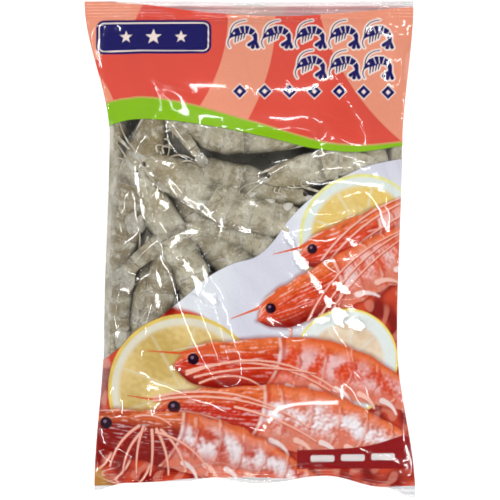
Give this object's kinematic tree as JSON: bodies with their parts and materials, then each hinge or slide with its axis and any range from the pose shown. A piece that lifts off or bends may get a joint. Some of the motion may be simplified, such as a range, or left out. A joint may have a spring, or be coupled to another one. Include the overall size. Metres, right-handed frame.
{
  "type": "bag of frozen raw shrimp",
  "caption": "Sealed pillow bag of clear film with a printed front and a window, filled with whole raw shrimp, lying on its back.",
  "frame": {"origin": "centre of the bag's bounding box in plan, on the surface that the back rests on", "axes": "+X to the right of the printed front, +Y towards the top seal, +Z out of the printed front"},
  "size_m": [0.1812, 0.272, 0.0399],
  "materials": {
    "film": "clear glossy film with reverse print in red, peach, green and orange",
    "shrimp": "moist grey translucent shell with frost, seen through the film"
  },
  "bodies": {
    "root": {"shrimp_bag": "film"}
  },
  "joints": []
}
